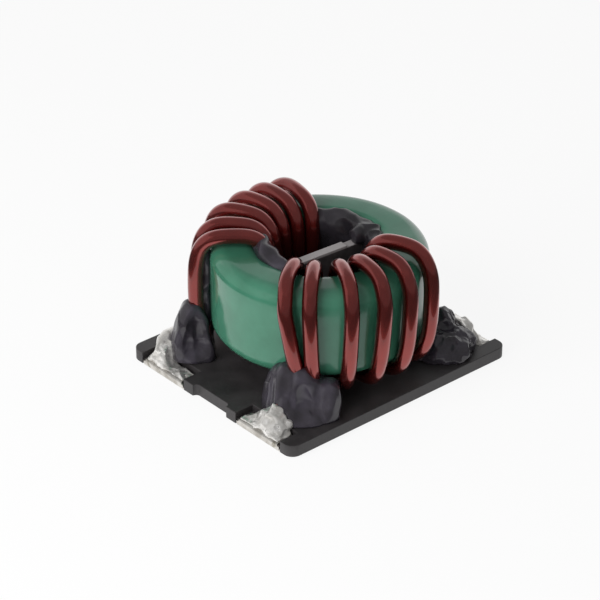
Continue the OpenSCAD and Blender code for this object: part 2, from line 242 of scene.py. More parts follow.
@dataclass(frozen=True)
class Finish:
    """A surface with soft clouds of tone, a fine grain, and stains where it has them, in millimetres."""

    name: str
    slot: str
    dark: str
    light: str
    cloud: float
    rough: Pair
    grain: float
    relief: float
    stain: str = "#000000"
    stain_width: float = 1.0
    stain_share: float = 0.0
    metallic: float = 0.0
    ior: float = 1.5
    coat: float = 0.0
    coat_rough: float = 0.03

    def sockets(self, tree: NodeTree, place: NodeSocket) -> dict[str, object]:
        """Gives the shader's inputs.

        Args:
            tree: Material's node tree.
            place: Position on the part, in metres.

        Returns:
            Value or source socket for each input of the shader.
        """
        share = ranged(tree, clouds(tree, place, self.cloud, detail=4.0), CLOUD_RANGE)
        tone = blend(tree, share, linear(self.dark), linear(self.light))
        rough = ranged(tree, share, (0.0, 1.0), self.rough)
        grain = clouds(tree, place, self.grain, detail=3.0)
        relief = {"Height": grain, "Strength": GRAIN_STRENGTH, "Distance": self.relief * MM}
        bump = add(tree, "ShaderNodeBump", relief)
        if self.stain_share:
            spots = clouds(tree, place, self.stain_width, detail=5.0, roughness=0.65)
            edge = 1 - self.stain_share
            spread = ranged(tree, spots, (edge - STAIN_BLUR, edge + STAIN_BLUR))
            tone = blend(tree, spread, tone, linear(self.stain))
        return {
            "Base Color": tone,
            "Roughness": rough,
            "Normal": bump.outputs["Normal"],
            "Metallic": self.metallic,
            "IOR": self.ior,
            "Coat Weight": self.coat,
            "Coat Roughness": self.coat_rough,
        }

    def material(self) -> Material:
        """Makes the material once and gives the same one from then on.

        Returns:
            The material.
        """
        made = bpy.data.materials.get(self.name)
        if made:
            return made
        made = bpy.data.materials.new(self.name)
        tree = blank_tree(made)
        place = add(tree, "ShaderNodeTexCoord").outputs["Object"]
        shader = add(tree, "ShaderNodeBsdfPrincipled", self.sockets(tree, place))
        add(tree, "ShaderNodeOutputMaterial", {"Surface": shader.outputs["BSDF"]})
        return made

    def cover(self, obj: Object) -> None:
        """Puts the finish on all of an object.

        Args:
            obj: Piece or solid that takes it.
        """
        obj.data.materials.clear()
        obj.data.materials.append(self.material())


@dataclass(frozen=True)
class MouldedPhenolic(Finish):
    """Black phenolic, compression moulded: a dull black face with a fine grain and a little grey dust."""

    name: str = "moulded_phenolic"
    slot: str = "moulded_plate"
    dark: str = "#272526"
    light: str = "#353233"
    cloud: float = 2.5
    rough: Pair = (0.42, 0.55)
    # The real grain is about 0.03 mm; 0.12 mm is the finest that shows.
    grain: float = 0.12
    relief: float = 0.02
    stain: str = "#3f3c3c"
    stain_width: float = 0.5
    stain_share: float = 0.32
    ior: float = 1.55


@dataclass(frozen=True)
class TinnedBrass(Finish):
    """Brass sheet, hot-dip tinned: a bright grey skin with soft dull clouds, a fine grain and dull stains."""

    name: str = "tinned_brass"
    slot: str = "tin_plate"
    dark: str = "#c6c1b9"
    light: str = "#f0ede8"
    cloud: float = 1.2
    rough: Pair = (0.48, 0.32)
    grain: float = 0.25
    relief: float = 0.03
    stain: str = "#9b9585"
    stain_width: float = 1.6
    stain_share: float = 0.34
    metallic: float = 1.0


@dataclass(frozen=True)
class HandSolder(Finish):
    """Tin solder, put on by hand: bright where it flowed, grey where it froze, brown where flux stayed."""

    name: str = "hand_solder"
    slot: str = "solder"
    dark: str = "#d6d3ce"
    light: str = "#f6f4f1"
    cloud: float = 0.9
    rough: Pair = (0.44, 0.26)
    grain: float = 0.22
    relief: float = 0.04
    stain: str = "#77715f"
    stain_width: float = 0.8
    stain_share: float = 0.28
    metallic: float = 0.8


@dataclass(frozen=True)
class EpoxyPowder(Finish):
    """Green epoxy powder, baked on: a glossy, slightly uneven skin that mirrors the floor softly."""

    name: str = "epoxy_powder"
    slot: str = "green_coat"
    dark: str = "#346a54"
    light: str = "#3d765f"
    cloud: float = 4.0
    rough: Pair = (0.14, 0.22)
    grain: float = 0.9
    relief: float = 0.02
    ior: float = 1.55
    coat: float = 0.2
    coat_rough: float = 0.06


@dataclass(frozen=True)
class EnamelledCopper(Finish):
    """Copper wire under baked red enamel: a deep red metal that mirrors the room under a clear gloss."""

    name: str = "enamelled_copper"
    slot: str = "enamelled_wire"
    dark: str = "#862f2b"
    light: str = "#923631"
    cloud: float = 2.5
    rough: Pair = (0.2, 0.24)
    grain: float = 1.2
    relief: float = 0.006
    metallic: float = 0.92
    coat: float = 1.0
    coat_rough: float = 0.05


@dataclass(frozen=True)
class FibreCard(Finish):
    """Vulcanised fibre card, punched: a matte dark face with short pressed fibres, and a pale band along the
    top edge as painted highlight.
    """

    name: str = "fibre_card"
    slot: str = "card"
    dark: str = "#3a3738"
    light: str = "#4a4748"
    cloud: float = 0.6
    rough: Pair = (0.5, 0.62)
    grain: float = 0.3
    relief: float = 0.03
    # Pale band along the top edge, from the first height to the second: a painted highlight of the card's lit
    # top.
    edge: str = "#a29e9e"
    top_highlight_z: Pair = (11.08, 11.2)

    def sockets(self, tree: NodeTree, place: NodeSocket) -> dict[str, object]:
        """Gives the shader's inputs, with a painted highlight as a pale band along the top edge.

        Args:
            tree: Material's node tree.
            place: Position on the part, in metres.

        Returns:
            Value or source socket for each input of the shader.
        """
        inputs = super().sockets(tree, place)
        height = add(tree, "ShaderNodeSeparateXYZ", {"Vector": place}).outputs["Z"]
        low, high = self.top_highlight_z
        # Painted highlight: the top edge is paled as if lit from above.
        lit_top_band = ranged(tree, height, (low * MM, high * MM))
        return inputs | {"Base Color": blend(tree, lit_top_band, inputs["Base Color"], linear(self.edge))}


@dataclass(frozen=True)
class DrippedEpoxy(Finish):
    """Black two-part epoxy, dripped on and cured: dark, purplish and glossy, with soft folds."""

    name: str = "dripped_epoxy"
    slot: str = "dark_epoxy"
    dark: str = "#29262b"
    light: str = "#39353e"
    cloud: float = 2.0
    rough: Pair = (0.16, 0.27)
    grain: float = 1.0
    relief: float = 0.015
    ior: float = 1.55


@dataclass(frozen=True)
class EpoxyInPaintedShade(DrippedEpoxy):
    """The same epoxy, drawn down the wall of the hole and made blacker as painted shade of the hole's inside,
    with a softer gloss.
    """

    name: str = "epoxy_painted_shade"
    # Blacker tones: painted shade of the hole's inside.
    dark: str = "#1b191c"
    light: str = "#29262b"
    rough: Pair = (0.26, 0.4)


@dataclass(frozen=True)
class SinteredFerrite(Finish):
    """Ferrite, pressed and sintered: dark grey ceramic with a dry, fine grain."""

    name: str = "sintered_ferrite"
    slot: str = "ferrite"
    dark: str = "#2e2c2a"
    light: str = "#45423f"
    cloud: float = 0.8
    rough: Pair = (0.55, 0.65)
    grain: float = 0.2
    relief: float = 0.02


@dataclass
class Shell:
    """A closed mesh in millimetres."""

    points: list[np.ndarray] = field(default_factory=list)
    faces: list[Face] = field(default_factory=list)

    def take(self, other: "Shell") -> None:
        """Takes in another shell beside this one.

        Args:
            other: Shell to take in.
        """
        first = len(self.points)
        self.points.extend(other.points)
        self.faces.extend(tuple(i + first for i in f) for f in other.faces)

    def mesh(self, name: str, scale: float) -> Mesh:
        """Makes a mesh of the shell with its faces turned outward.

        Args:
            name: Mesh name.
            scale: Factor on all sizes.

        Returns:
            The new mesh.
        """
        made = bpy.data.meshes.new(name)
        made.from_pydata([Vector(p) * scale for p in self.points], [], self.faces)
        bm = bmesh.new()
        bm.from_mesh(made)
        bmesh.ops.recalc_face_normals(bm, faces=bm.faces)
        bm.to_mesh(made)
        bm.free()
        made.update()
        return made


def grid(rows: int, columns: int, wrap_rows: bool = False, wrap_columns: bool = False) -> list[Face]:
    """Joins rows of points into four-sided faces.

    Args:
        rows: Number of rows.
        columns: Points in a row.
        wrap_rows: Whether the last row joins the first.
        wrap_columns: Whether the last point of a row joins its first.

    Returns:
        The faces, row by row.
    """
    faces: list[Face] = []
    for i in range(rows if wrap_rows else rows - 1):
        here, after = i * columns, (i + 1) % rows * columns
        for j in range(columns if wrap_columns else columns - 1):
            k = (j + 1) % columns
            faces.append((here + j, here + k, after + k, after + j))
    return faces


def sweep(rings: list[np.ndarray]) -> Shell:
    """Joins rings of points into a closed shell with a flat cap at each end.

    Args:
        rings: One array of points for each ring, all of one length.

    Returns:
        The closed shell.
    """
    m = len(rings[0])
    n = len(rings)
    points = [p for r in rings for p in r]
    faces = grid(n, m, wrap_columns=True)
    for start, row in ((rings[0], 0), (rings[-1], n - 1)):
        points.append(np.mean(start, axis=0))
        hub = len(points) - 1
        faces.extend((row * m + j, row * m + (j + 1) % m, hub) for j in range(m))
    return Shell(points, faces)


def tube(path: np.ndarray, radii: np.ndarray, sides: int = 28) -> Shell:
    """Sweeps a circle along a path without twisting it.

    Args:
        path: Points of the middle line.
        radii: Radius of the tube at each point.
        sides: Points round the circle.

    Returns:
        The closed tube.
    """
    last = len(path) - 1
    tangents = [unit(path[min(i + 1, last)] - path[max(i - 1, 0)]) for i in range(last + 1)]
    side = unit(np.cross(tangents[0], TUBE_UP))
    angles = np.linspace(0, 2 * math.pi, sides, endpoint=False)
    rings = []
    for p, t, radius in zip(path, tangents, radii):
        side = unit(side - np.dot(side, t) * t)
        other = np.cross(t, side)
        rings.append(np.array([p + radius * (math.cos(w) * side + math.sin(w) * other) for w in angles]))
    return sweep(rings)


def ball(middle: np.ndarray, radius: float, rows: int = 12, sides: int = 20) -> Shell:
    """Gives a closed ball.

    Args:
        middle: Its middle.
        radius: Its radius.
        rows: Rings from pole to pole.
        sides: Points round each ring.

    Returns:
        The closed shell.
    """
    angles = np.linspace(0, 2 * math.pi, sides, endpoint=False)
    rings = []
    for down in np.linspace(POLE, math.pi - POLE, rows):
        flat, z = radius * math.sin(down), -radius * math.cos(down)
        rings.append(np.array([middle + polar(flat, w, z) for w in angles]))
    return sweep(rings)


def place_piece(name: str, mesh: Mesh, *nodes: str) -> Object:
    """Makes a piece of the part from a mesh, smooth shaded, in place of its solids.

    Args:
        name: Piece name.
        mesh: Mesh in metres.
        nodes: Solids that the piece stands for.

    Returns:
        The new piece.
    """
    obj = put(name, mesh)
    mesh.shade_smooth()
    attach(obj, "root")
    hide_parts(*nodes)
    LOG.info("%s: %d faces", name, len(mesh.polygons))
    return obj


def melted(shell: Shell, name: str, voxel: float, rounds: int) -> Mesh:
    """Melts overlapping closed shells into one skin and relaxes it.

    Args:
        shell: Shells in millimetres.
        name: Mesh name.
        voxel: Size of a cell of the skin, in millimetres.
        rounds: Rounds of relaxing.

    Returns:
        Mesh in millimetres.
    """
    rough = put(name + "_rough", shell.mesh(name + "_rough", 1.0))
    remesh = rough.modifiers.new("skin", "REMESH")
    remesh.mode = "VOXEL"
    remesh.voxel_size = voxel
    relax = rough.modifiers.new("relax", "SMOOTH")
    relax.factor = 0.5
    relax.iterations = rounds
    made = bpy.data.meshes.new_from_object(rough.evaluated_get(bpy.context.evaluated_depsgraph_get()))
    made.name = name
    scratch = rough.data
    bpy.data.objects.remove(rough)
    bpy.data.meshes.remove(scratch)
    return made


def roughen(
    mesh: Mesh,
    waves: tuple[Pair, ...],
    creases: tuple[Pair, ...],
    floor_z: float,
    dents: tuple[Five, ...] = (),
) -> None:
    """Pushes a skin in and out along its normals and brings it to metres.

    Args:
        mesh: Mesh in millimetres.
        waves: Width and height of each size of soft wave, in millimetres.
        creases: Width and height of each size of sharp fold, in millimetres.
        floor_z: Height under which nothing may sink, in millimetres.
        dents: Middle, radius and depth of each soft dent, in millimetres.
    """
    moved = []
    for v in mesh.vertices:
        push = sum(h * noise.noise(v.co / w) for w, h in waves)
        push += sum(h * (0.5 - 2 * abs(noise.noise(v.co / w + FOLD_SHIFT))) for w, h in creases)
        for x, y, z, radius, depth in dents:
            near = max(1 - ((v.co - Vector((x, y, z))).length / radius) ** 2, 0)
            push -= depth * near**DENT_FALL
        p = v.co + v.normal * push
        p.z = max(p.z, floor_z)
        moved.append(p)
    for v, p in zip(mesh.vertices, moved):
        v.co = p * MM
    mesh.update()


def bevelled(name: str, node: str, width: float, segments: int) -> Object:
    """Copies a solid's shape into a piece with its sharp edges rounded.

    Args:
        name: Piece name.
        node: Solid that is copied and stood for.
        width: Width of the rounding, in millimetres.
        segments: Steps across the rounding.

    Returns:
        The new piece.
    """
    source = frame["nodes"][node].data
    mesh = bpy.data.meshes.new(name)
    mesh.from_pydata([v.co.copy() for v in source.vertices], [], [tuple(p.vertices) for p in source.polygons])
    bm = bmesh.new()
    bm.from_mesh(mesh)
    bmesh.ops.remove_doubles(bm, verts=bm.verts, dist=WELD_GAP * MM)
    bmesh.ops.dissolve_limit(bm, angle_limit=math.radians(FLAT_ANGLE), verts=bm.verts, edges=bm.edges)
    limit = math.radians(SHARP_ANGLE)
    sharp = [e for e in bm.edges if len(e.link_faces) == 2 and e.calc_face_angle() > limit]
    bmesh.ops.bevel(
        bm,
        geom=sharp,
        offset=width * MM,
        segments=segments,
        profile=0.5,
        affect="EDGES",
        clamp_overlap=True,
    )
    bmesh.ops.recalc_face_normals(bm, faces=bm.faces)
    bm.to_mesh(mesh)
    bm.free()
    piece = place_piece(name, mesh, node)
    mesh.set_sharp_from_angle(angle=math.radians(BREAK_ANGLE))
    piece.modifiers.new("face_normals", "WEIGHTED_NORMAL").keep_sharp = True
    return piece


@dataclass
class Plate:
    """The moulded plate with its pockets and edge recesses."""

    edge: float = 0.18
    steps: int = 4

    def build(self) -> Object:
        """Rounds the solid's edges as a mould leaves them."""
        return bevelled("plate", "base", self.edge, self.steps)

    def dress(self, plate: Object) -> None:
        """Puts the plate's finish on it."""
        MouldedPhenolic().cover(plate)


@dataclass
class Clips:
    """The four plated clips that fold round the plate's edges."""

    edge: float = 0.05
    steps: int = 2
    corners: tuple[str, ...] = ("front", "left", "right", "back")

    def build(self) -> list[Object]:
        """Rounds the edges of each clip's sheet."""
        return [bevelled("clip_" + c, "terminal_" + c, self.edge, self.steps) for c in self.corners]

    def dress(self, clips: list[Object]) -> None:
        """Puts the tinned finish on the clips."""
        for clip in clips:
            TinnedBrass().cover(clip)


@dataclass
class Ring:
    """The coated ring that carries the windings."""

    od: float = CORE_OD
    bore: float = CORE_ID
    low: float = CORE_LOW
    high: float = CORE_TOP
    edge_r: float = 1.4
    steps: int = 240
    arc: int = 10
    flat: int = 8
    flat_from: float = 1.0
    uneven: float = 0.035
    wave_width: float = 3.5
    crown: float = 0.14

    def section(self) -> list[Pair]:
        """Draws the ring's half section, with each flat side in several steps.

        Returns:
            Radius and height of each point, anticlockwise from the outer wall.
        """
        r0, r1 = self.bore / 2, self.od / 2
        corners = (
            (r1 - self.edge_r, self.high - self.edge_r, 0),
            (r0 + self.edge_r, self.high - self.edge_r, 90),
            (r0 + self.edge_r, self.low + self.edge_r, 180),
            (r1 - self.edge_r, self.low + self.edge_r, 270),
        )
        arcs = [
            (r + self.edge_r * math.cos(math.radians(a)), z + self.edge_r * math.sin(math.radians(a)))
            for r, z, first in corners
            for a in np.linspace(first, first + 90, self.arc)
        ]
        points = []
        for here, following in zip(arcs, arcs[1:] + arcs[:1]):
            points.append(here)
            if math.dist(here, following) > self.flat_from:
                points.extend(
                    (mix(here[0], following[0], k / self.flat), mix(here[1], following[1], k / self.flat))
                    for k in range(1, self.flat)
                )
        return points

    def build(self) -> Object:
        """Turns the section round the axis, with the slight waves of a baked coat.

        Returns:
            The coat's piece.
        """
        section = self.section()
        m = len(section)
        half_w = (self.od - self.bore) / 4
        half_h = (self.high - self.low) / 2
        points = []
        for i in range(self.steps):
            az = 2 * math.pi * i / self.steps
            for r, z in section:
                aside, above = r - CORE_MID_R, z - CORE_MID_Z
                sunk = self.crown * (aside / half_w) ** 2 * above / half_h
                p = polar(r, az, z - sunk)
                outward = unit(polar(aside, az, above))
                points.append(p - outward * self.uneven * (1 + noise.noise(Vector(p) / self.wave_width)))
        faces = grid(self.steps, m, wrap_rows=True, wrap_columns=True)
        return place_piece("ring_coat", Shell(points, faces).mesh("ring_coat", MM), "core_coating")

    def dress(self, coat: Object) -> None:
        """Puts the green coat on the ring, and the ceramic inside it."""
        EpoxyPowder().cover(coat)
        SinteredFerrite().cover(frame["nodes"]["ferrite_core"])


@dataclass
class Winding:
    """Six turns of enamelled wire and their two leads, in millimetres and degrees.

    Each turn has the azimuths of its outer and inner legs, how loose it lies, how far its top lifts and how
    far it leans as it arrives. The knots are points and directions along the first lead.
    """

    name: str
    outer: tuple[float, ...]
    inner: tuple[float, ...]
    loose: tuple[float, ...]
    lift: tuple[float, ...]
    lean: tuple[float, ...]
    lead_az: float
    exit_az: float
    knots: tuple[tuple[tuple[float, ...], tuple[float, ...]], ...]
    end: Triple
    radius: float = 0.74
    lead_radius: float = 0.66
    trim: int = 2
    # Shares of a lead that are bare, and over which the enamel then starts.
    bare: float = 1.6 / 3
    fade: float = 1 / 3
    half_w: float = 3.355
    half_h: float = 5.45
    half_low: float = 5.3
    square: float = 3.1
    relax: int = 8
    first_q: int = -30
    # Turn angles: where the outer leg is reached, over how many the wire crosses to the inner leg, where it
    # leaves that, and over how many it runs on to the next turn.
    settle_q: int = 30
    cross_q: int = 120
    leave_q: int = 200
    run_q: int = 95
    last_q: int = 270
    step_q: int = 3
    lead_steps: int = 30

    def azimuth(self, q: float, start: float, out: float, inner: float, following: float) -> float:
        """Gives the azimuth at a turn angle: 0 is the outer leg, 90 the top, 180 the inner leg.

        Args:
            q: Turn angle in degrees.
            start: Azimuth that the turn comes from.
            out: Azimuth of its outer leg.
            inner: Azimuth of its inner leg.
            following: Azimuth that it goes on to.

        Returns:
            Azimuth in degrees.
        """
        if q < self.settle_q:
            return mix(start, out, smooth((q - self.first_q) / (self.settle_q - self.first_q)))
        if q < self.leave_q:
            return mix(out, inner, smooth((q - self.settle_q) / self.cross_q))
        return mix(inner, following, smooth((q - self.leave_q) / self.run_q))

    def turns(self) -> list[np.ndarray]:
        """Winds all the turns, from the first leg to the last lead.

        Returns:
            Points of the middle line.
        """
        points = []
        count = len(self.outer)
        for k in range(count):
            last = k == count - 1
            start = self.lead_az if k == 0 else self.outer[k] + self.lean[k]
            following = self.exit_az if last else self.outer[k + 1] + self.lean[k + 1]
            next_loose = self.loose[k] if last else self.loose[k + 1]
            stop = self.last_q if last else self.first_q + 360 - self.step_q
            for q in range(self.first_q, stop + 1, self.step_q):
                az = math.radians(self.azimuth(q, start, self.outer[k], self.inner[k], following))
                c, s = math.cos(math.radians(q)), math.sin(math.radians(q))
                loose = (self.loose[k] if q < 180 else next_loose) if c > 0 else 0
                r = CORE_MID_R + (self.half_w + loose) * signed_power(c, 2 / self.square)
                half = self.half_h + self.lift[k] if s > 0 else self.half_low
                z = CORE_MID_Z + half * signed_power(s, 2 / self.square)
                points.append(polar(r, az, z))
        return points

    def bend(self, p: np.ndarray, p_dir: np.ndarray, s: np.ndarray, s_dir: np.ndarray) -> list[np.ndarray]:
        """Gives a smooth bend between two points, without the second one.

        Args:
            p: First point.
            p_dir: Direction in which the bend leaves it.
            s: Second point.
            s_dir: Direction in which the bend arrives.

        Returns:
            Points along the bend.
        """
        pull = np.linalg.norm(s - p)
        points = []
        for t in np.arange(self.lead_steps) / self.lead_steps:
            points.append(
                (2 * t**3 - 3 * t**2 + 1) * p
                + (t**3 - 2 * t**2 + t) * pull * unit(p_dir)
                + (3 * t**2 - 2 * t**3) * s
                + (t**3 - t**2) * pull * unit(s_dir)
            )
        return points

    def path(self) -> np.ndarray:
        """Joins the leads to the turns and eases the joins.

        Returns:
            Points of the whole wire's middle line.
        """
        turns = self.turns()
        stops = [(np.array(p, float), np.array(d, float)) for p, d in self.knots]
        stops.append((turns[0], turns[1] - turns[0]))
        points = []
        for (p, p_dir), (s, s_dir) in zip(stops, stops[1:]):
            points.extend(self.bend(p, p_dir, s, s_dir))
        points.extend(turns[:-1])
        end = np.array(self.end, float)
        points.extend(self.bend(turns[-1], turns[-1] - turns[-2], end, np.array((1.0, 0.0, 0.0))))
        points.append(end)
        path = np.array(points)
        for _ in range(self.relax):
            path[1:-1] = (path[:-2] + path[1:-1] + path[2:]) / 3
        return path

    def build(self) -> Object:
        """Sweeps the wire along its path, slimmer where the leads were stripped and short of the tin's ends.

        Returns:
            The wire's piece.
        """
        path = self.path()[self.trim : -self.trim]
        order = np.arange(len(path))
        from_start = order / (self.lead_steps * len(self.knots))
        from_end = (len(path) - 1 - order) / self.lead_steps
        enamel = [smooth((d - self.bare) / self.fade) for d in np.minimum(from_start, from_end)]
        radii = np.array([mix(self.lead_radius, self.radius, e) for e in enamel])
        mesh = tube(path, radii).mesh(self.name, MM)
        return place_piece("wire_" + self.name, mesh, "winding_" + self.name)

    def dress(self, wire: Object) -> None:
        """Puts the enamel on the wire."""
        EnamelledCopper().cover(wire)


FRONT = Winding(
    name="front",
    outer=(-147.8, -136, -116, -99, -83, -65),
    inner=(-155, -136, -113.3, -94.4, -75.5, -56.6),
    loose=(0.1, 0, 0, 0, 0, 0.1),
    lift=(0, 0, 0, 0, 0.1, 0.3),
    lean=(0, 1.5, -1.5, -3, -3, -3),
    lead_az=-141.5,
    exit_az=-34,
    knots=(((-12.1, -7.3, ARM_LEAD_Z), (1, 0, 1)),),
    end=(11.9, -7.2, PLATE_LEAD_Z),
)
REAR = Winding(
    name="rear",
    outer=(143, 132, 114, 98, 85.6, 74),
    inner=(151.5, 132.6, 113.7, 94.8, 75.9, 57),
    loose=(0.4, 0.3, 0.3, 0.1, 0, 0.1),
    lift=(0.2, 0.3, 0.3, 0.35, 0.45, 0.42),
    lean=(0, 0, 0, 0, 0, 0),
    lead_az=144,
    exit_az=34,
    knots=(((-12.8, 8, ARM_LEAD_Z), (1, 0.8, 0.7)), ((-11, 8.85, PLATE_LEAD_Z + 0.4), (1, 0, 0.3))),
    end=(11.9, 7.2, PLATE_LEAD_Z),
)


@dataclass
class Separator:
    """The card that stands across the ring's hole."""

    edge: float = 0.06
    steps: int = 2

    def build(self) -> Object:
        """Softens the edges of the punched card."""
        return bevelled("card", "separator", self.edge, self.steps)

    def dress(self, card: Object) -> None:
        """Puts the fibre finish on the card."""
        FibreCard().cover(card)


@dataclass
class SolderJoint:
    """Solder on a clip's arm that rises over the end of a wire."""

    corner: str
    x_side: int
    y_side: int
    wire_end: Triple
    tongue: float
    spread: float
    rise: float
    phase: float
    sleeve: np.ndarray
    blobs: tuple[Four, ...] = ()
    film: float = 0.1
    over: float = 0.2
    lead_rise: float = 0.1
    ripple: float = 0.06
    ripple_rate: Pair = (130.0, 150.0)
    foot: float = 1.1
    taper: float = 0.7
    tin_coat: float = 0.12
    inset: float = 0.2
    end_gap: float = 0.1
    sink: float = 0.1
    low_z: float = TERM_H - 0.15
    rows: int = 40
    columns: int = 80
    voxel: float = 0.06
    rounds: int = 5
    waves: tuple[Pair, ...] = ((0.9, 0.05),)
    creases: tuple[Pair, ...] = ((1.5, 0.2), (0.6, 0.05))

    def height(self, u: float, along: float, v: float) -> float:
        """Gives the height of the solder over the pads.

        Args:
            u: Distance in from the plate's edge.
            along: Distance along the edge from the clip's middle.
            v: Distance along the edge from the wire.

        Returns:
            Height in millimetres.
        """
        wire_u = BASE_L / 2 - abs(self.wire_end[0])
        climb = smooth((u - wire_u) / POCKET_L)
        plate_z = max(self.wire_end[2], PLATE_LEAD_Z + self.lead_rise)
        top = mix(self.wire_end[2], plate_z, climb) + WIRE_R
        taper = smooth((ARM_W / 2 - abs(along)) / self.taper)
        hump = (top + self.over - TERM_H) * math.exp(-((v / self.spread) ** 4))
        across = math.radians(self.ripple_rate[0] * v + self.phase)
        inward = math.radians(self.ripple_rate[1] * u + self.phase)
        waves = math.sin(across) * math.sin(inward) ** 2
        lift = hump * smooth((u - wire_u) / self.rise + 1) + self.ripple * waves
        return TERM_H + self.film + taper * lift

    def lump(self) -> Shell:
        """Draws the joint as a closed grid.

        Returns:
            The closed shell.
        """
        m = self.columns + 1
        points = []
        for top in (True, False):
            for i in range(self.rows + 1):
                for j in range(m):
                    along = mix(-1, 1, j / self.columns) * (ARM_W / 2 - self.end_gap)
                    v = along - (abs(self.wire_end[1]) - TERM_Y)
                    reach = mix(ARM_L, self.tongue, math.exp(-((v / (self.foot * self.spread)) ** 4)))
                    u = mix(self.inset, reach, i / self.rows)
                    x = self.x_side * (BASE_L / 2 - u)
                    y = self.y_side * (TERM_Y + along)
                    z = self.height(u, along, v) if top else TERM_H - self.sink
                    points.append(np.array((x, y, z)))
        low = (self.rows + 1) * m
        faces = grid(self.rows + 1, m)
        faces += [tuple(low + k for k in reversed(f)) for f in faces]
        for j in range(self.columns):
            a = self.rows * m + j
            faces.append((j, low + j, low + j + 1, j + 1))
            faces.append((a, a + 1, low + a + 1, low + a))
        for i in range(self.rows):
            a, b = i * m, i * m + self.columns
            faces.append((a, a + m, low + a + m, low + a))
            faces.append((b, low + b, low + b + m, b + m))
        return Shell(points, faces)

    def build(self) -> Object:
        """Melts the lump and the tinned wire end into one skin.

        Returns:
            The joint's piece.
        """
        shell = self.lump()
        shell.take(tube(self.sleeve, np.full(len(self.sleeve), WIRE_R + self.tin_coat)))
        for x, y, z, r in self.blobs:
            shell.take(ball(np.array((x, y, z)), r))
        mesh = melted(shell, "solder_" + self.corner, self.voxel, self.rounds)
        roughen(mesh, self.waves, self.creases, self.low_z)
        return place_piece("joint_" + self.corner, mesh, "solder_" + self.corner)

    def dress(self, joint: Object) -> None:
        """Puts the solder's finish on it."""
        HandSolder().cover(joint)


@dataclass
class Mound:
    """One heap of epoxy, drawn up from its foot to a peak.

    A ridge has its directions at the foot and the top, its size and its width. A dell has the directions of
    its two sides at the foot, then at the top, and its depth.
    """

    foot: Pair
    reach: Pair
    peak: Triple
    fullness: float
    phase: float
    ridges: tuple[Four, ...] = ()
    dells: tuple[Five, ...] = ()
    tip: float = 0.2
    wave: float = 0.04
    wave_counts: tuple[int, int] = (3, 5)
    fold: float = 0.05
    fold_count: int = 7
    ridge_end: float = 0.25
    dell_start: float = 0.3
    dell_end: float = 1 / 3
    sides: int = 96
    rows: int = 40

    def ridge(self, w: float, h: float) -> float:
        """Gives how far the ridges stand out and the dells sink in at a place on the heap.

        Args:
            w: Direction from the heap's middle, in degrees.
            h: Height from the foot, 0, to the peak, 1.

        Returns:
            Share of the heap's reach.
        """
        total = 0.0
        for foot_az, top_az, size, width in self.ridges:
            away = (w - mix(foot_az, top_az, h) + 180) % 360 - 180
            total += size * math.exp(-((away / width) ** 2)) * smooth((1 - h) / self.ridge_end)
        for foot_from, foot_to, top_from, top_to, depth in self.dells:
            first, last = mix(foot_from, top_from, h), mix(foot_to, top_to, h)
            away = ((w - (first + last) / 2 + 180) % 360 - 180) / ((last - first) / 2)
            ends = smooth(h / self.dell_start) * smooth((1 - h) / self.dell_end)
            total -= depth * max(1 - away**2, 0) * ends
        return total

    def shell(self) -> Shell:
        """Draws the heap ring by ring.

        Returns:
            The closed shell.
        """
        few, many = self.wave_counts
        phase = math.radians(self.phase)
        rings = []
        for i in range(self.rows):
            h = math.sin(math.pi / 2 * i / (self.rows - 1))
            f = mix(self.tip, 1, max(1 - h**self.fullness, 0) ** (1 / self.fullness))
            x, y = mix(self.foot[0], self.peak[0], h), mix(self.foot[1], self.peak[1], h)
            z = mix(BASE_TOP, self.peak[2], h)
            ring = []
            for j in range(self.sides):
                w = 360 * j / self.sides
                a = math.radians(w)
                wave = 1 + self.wave * (math.cos(few * a + phase) + math.cos(many * a + 2 * phase))
                fold = 1 + self.fold * math.cos(self.fold_count * a + phase) * 4 * h * (1 - h)
                size = f * wave * (fold + self.ridge(w, h))
                aside, beyond = size * self.reach[0] * math.cos(a), size * self.reach[1] * math.sin(a)
                ring.append((x + aside, y + beyond, z))
            rings.append(np.array(ring))
        return sweep(rings)


@dataclass
class GlueMound:
    """The epoxy over one corner's lead."""

    corner: str
    mounds: tuple[Mound, ...]
    waves: tuple[Pair, ...] = ((1.8, 0.07),)
    creases: tuple[Pair, ...] = ((2.1, 0.16),)
    dents: tuple[Five, ...] = ()
    voxel: float = 0.08
    rounds: int = 14

    def build(self) -> Object:
        """Melts the heaps into one skin with folds.

        Returns:
            The glue's piece.
        """
        shell = Shell()
        for mound in self.mounds:
            shell.take(mound.shell())
        mesh = melted(shell, "glue_" + self.corner, self.voxel, self.rounds)
        roughen(mesh, self.waves, self.creases, BASE_TOP, self.dents)
        return place_piece("epoxy_" + self.corner, mesh, "glue_" + self.corner)

    def dress(self, glue: Object) -> None:
        """Puts the epoxy's finish on it."""
        DrippedEpoxy().cover(glue)


